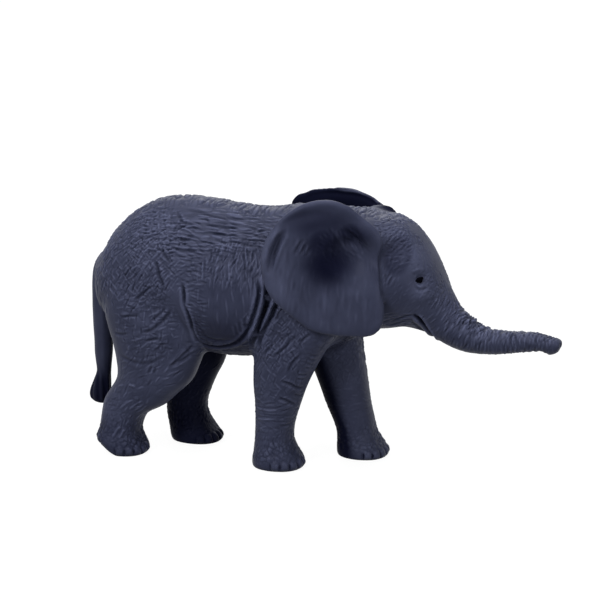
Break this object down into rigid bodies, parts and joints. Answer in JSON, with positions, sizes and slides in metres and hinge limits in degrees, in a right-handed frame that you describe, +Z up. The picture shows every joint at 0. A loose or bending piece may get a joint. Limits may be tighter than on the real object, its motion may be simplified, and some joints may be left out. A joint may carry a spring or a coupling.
{
  "type": "toy elephant figure",
  "caption": "Walking African elephant calf play figure in dark wrinkled vinyl, with flat soles, spread ears, a raised trunk and a hanging tail. It stands on its feet.",
  "frame": {"origin": "on the ground, midway between the trunk tip and the tail and midway across the ears", "axes": "+X forward along the trunk, +Y to the figure's left, +Z up from the flat soles"},
  "size_m": [0.0948, 0.0274, 0.0539],
  "materials": {
    "torso": "matte moulded soft vinyl with a fine wrinkled skin, sprayed darker in the ear hollows, on the feet and on the tail tuft",
    "head": "matte moulded soft vinyl with a fine wrinkled skin, sprayed darker in the ear hollows, on the feet and on the tail tuft",
    "right_ear": "matte moulded soft vinyl with a fine wrinkled skin, sprayed darker in the ear hollows, on the feet and on the tail tuft",
    "left_ear": "matte moulded soft vinyl with a fine wrinkled skin, sprayed darker in the ear hollows, on the feet and on the tail tuft",
    "right_fore_leg": "matte moulded soft vinyl with a fine wrinkled skin, sprayed darker in the ear hollows, on the feet and on the tail tuft",
    "left_fore_leg": "matte moulded soft vinyl with a fine wrinkled skin, sprayed darker in the ear hollows, on the feet and on the tail tuft",
    "right_hind_leg": "matte moulded soft vinyl with a fine wrinkled skin, sprayed darker in the ear hollows, on the feet and on the tail tuft",
    "left_hind_leg": "matte moulded soft vinyl with a fine wrinkled skin, sprayed darker in the ear hollows, on the feet and on the tail tuft",
    "tail": "matte moulded soft vinyl with a fine wrinkled skin, sprayed darker in the ear hollows, on the feet and on the tail tuft"
  },
  "bodies": {
    "root": {"torso": "torso", "head": "head", "right_ear": "right_ear", "left_ear": "left_ear", "right_fore_leg": "right_fore_leg", "left_fore_leg": "left_fore_leg", "right_hind_leg": "right_hind_leg", "left_hind_leg": "left_hind_leg", "tail": "tail"}
  },
  "joints": []
}
